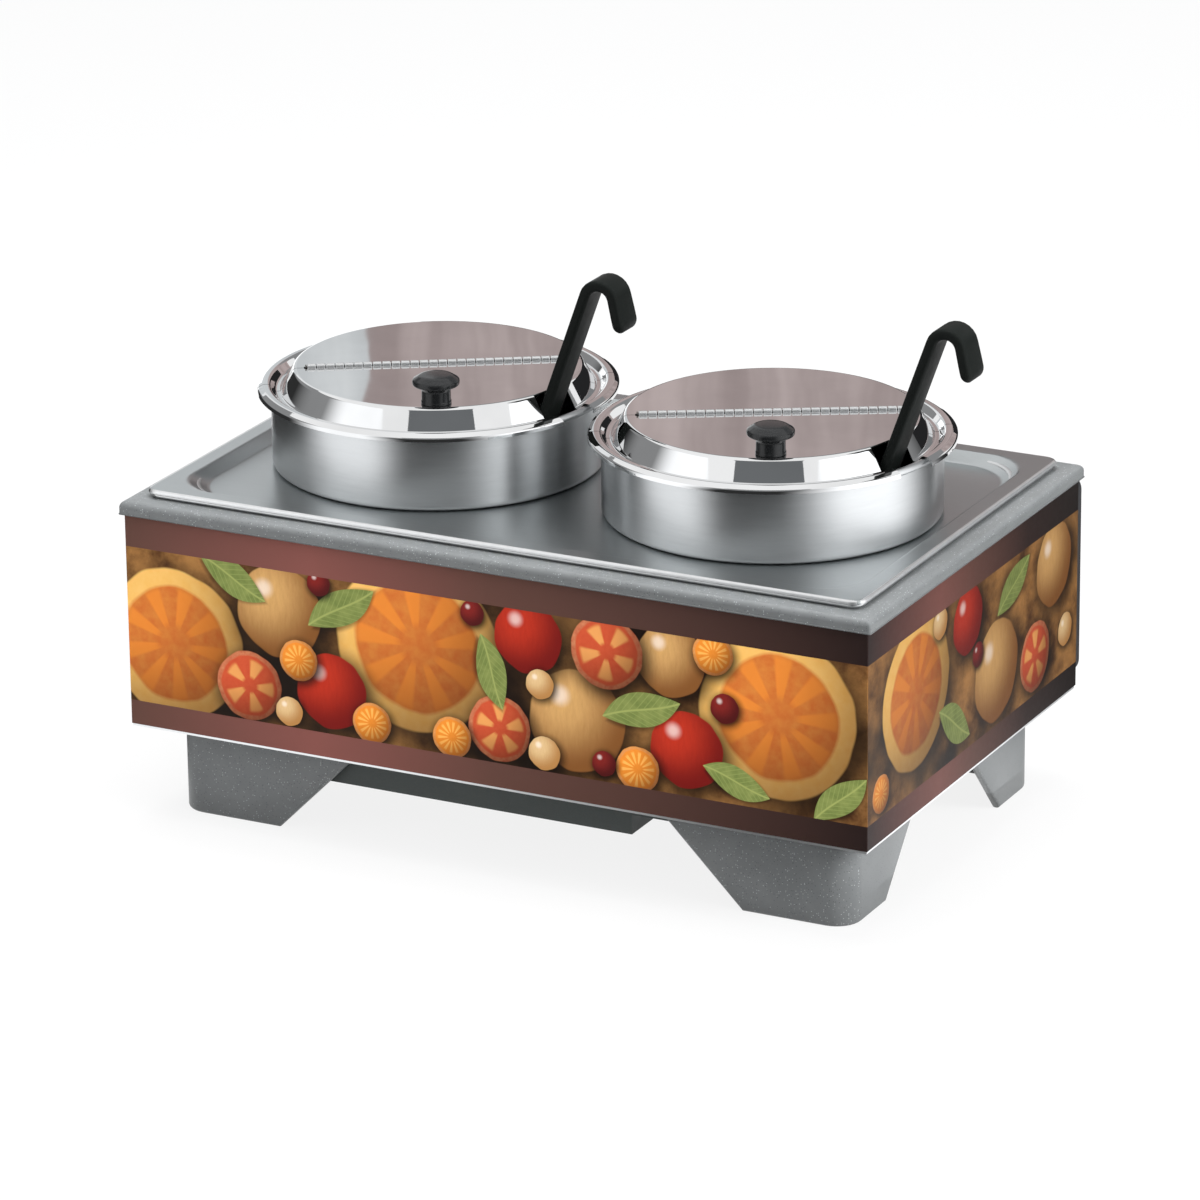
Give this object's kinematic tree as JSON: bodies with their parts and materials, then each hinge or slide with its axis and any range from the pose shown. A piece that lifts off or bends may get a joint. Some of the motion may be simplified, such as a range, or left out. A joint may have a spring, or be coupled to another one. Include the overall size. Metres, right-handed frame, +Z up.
{
  "type": "soup station",
  "caption": "Countertop soup station: grey casing with a heated well, drop-in round insets under hinged notched covers, hooked ladles, a printed skirt and rear controls.",
  "frame": {"origin": "on the table, at the middle of the station's footprint", "axes": "+X to the right as seen from the front, +Y to the rear, +Z up"},
  "size_m": [0.5584, 0.355, 0.3774],
  "materials": {
    "resin": "mid grey moulded resin with fine pale speckles",
    "steel_brushed": "satin stainless sheet",
    "steel_polished": "mirror-polished stainless sheet",
    "print_film": null,
    "black_plastic": "glossy black plastic",
    "black_satin": "satin black plastic",
    "black_paint": "satin black paint",
    "charcoal_paint": "charcoal painted sheet",
    "zinc": "zinc-plated steel",
    "heater_sheath": "dark oxidised sheath",
    "mineral_board": "pale mineral fibre",
    "cream_plastic": "cream moulded plastic",
    "copper": "copper capillary and bulb",
    "wire_red": "red wire sleeve",
    "lamp_amber": "amber lens",
    "rocker_red": "red rocker"
  },
  "bodies": {
    "base": {"rim": "resin", "casing_front": "resin", "casing_rear": "resin", "casing_left": "resin", "casing_right": "resin", "leg_frame": "resin", "well_liner": "steel_brushed", "insulation": "mineral_board", "heater_tube": "heater_sheath", "heater_straps": "zinc", "heater_nuts": "zinc", "bottom_tray": "charcoal_paint", "tray_screws": "zinc", "terminal_block": "cream_plastic", "lead_wires": "wire_red", "sensor_bulb": "copper", "skirt": "steel_brushed", "front_graphic": "print_film", "left_graphic": "print_film", "right_graphic": "print_film", "control_panel": "black_paint", "panel_screws": "zinc", "thermostat_body": "cream_plastic", "switch_body": "black_plastic", "lamp_body": "lamp_amber", "lamp_nut": "black_plastic", "cord_gland": "black_plastic", "gland_nut": "black_plastic"},
    "plate": {"adapter_plate": "steel_brushed"},
    "dial": {"thermostat_dial": "black_plastic", "thermostat_stem": "zinc"},
    "rocker": {"switch_rocker": "rocker_red"},
    "left_inset": {"inset_left": "steel_brushed"},
    "left_cover": {"cover_rear_left": "steel_polished", "hinge_pin_left": "zinc"},
    "left_flap": {"cover_flap_left": "steel_polished", "cover_knob_left": "black_plastic", "knob_screw_left": "zinc"},
    "left_ladle": {"ladle_left": "steel_brushed", "ladle_grip_left": "black_satin"},
    "right_inset": {"inset_right": "steel_brushed"},
    "right_cover": {"cover_rear_right": "steel_polished", "hinge_pin_right": "zinc"},
    "right_flap": {"cover_flap_right": "steel_polished", "cover_knob_right": "black_plastic", "knob_screw_right": "zinc"},
    "right_ladle": {"ladle_right": "steel_brushed", "ladle_grip_right": "black_satin"}
  },
  "joints": [
    {"name": "plate_lift", "type": "slide", "parent": "base", "child": "plate", "axis": [0, 0, 1], "range_m": [0, 0.25]},
    {"name": "left_inset_lift", "type": "slide", "parent": "plate", "child": "left_inset", "axis": [0, 0, 1], "range_m": [0, 0.2]},
    {"name": "right_inset_lift", "type": "slide", "parent": "plate", "child": "right_inset", "axis": [0, 0, 1], "range_m": [0, 0.042]},
    {"name": "left_cover_lift", "type": "slide", "parent": "left_inset", "child": "left_cover", "axis": [0, 0, 1], "range_m": [0, 0.12]},
    {"name": "right_cover_lift", "type": "slide", "parent": "right_inset", "child": "right_cover", "axis": [0, 0, 1], "range_m": [0, 0.042]},
    {"name": "left_flap_hinge", "type": "hinge", "parent": "left_cover", "child": "left_flap", "pos_m": [-0.1235, 0, 0.2888], "axis": [-0.8526, -0.5225, 0], "range_deg": [0, 150]},
    {"name": "right_flap_hinge", "type": "hinge", "parent": "right_cover", "child": "right_flap", "pos_m": [0.1235, 0, 0.2888], "axis": [-0.8763, -0.4818, 0], "range_deg": [0, 90]},
    {"name": "left_ladle_slide", "type": "slide", "parent": "left_inset", "child": "left_ladle", "axis": [0.342, 0, 0.9397], "range_m": [0, 0.04]},
    {"name": "right_ladle_slide", "type": "slide", "parent": "right_inset", "child": "right_ladle", "axis": [0.342, 0, 0.9397], "range_m": [0, 0.04]},
    {"name": "dial_turn", "type": "hinge", "parent": "base", "child": "dial", "pos_m": [-0.15, 0.1745, 0.142], "axis": [0, 1, 0], "range_deg": [0, 270]},
    {"name": "rocker_tip", "type": "hinge", "parent": "base", "child": "rocker", "pos_m": [-0.056, 0.172, 0.142], "axis": [1, 0, 0], "range_deg": [-14, 0]}
  ]
}
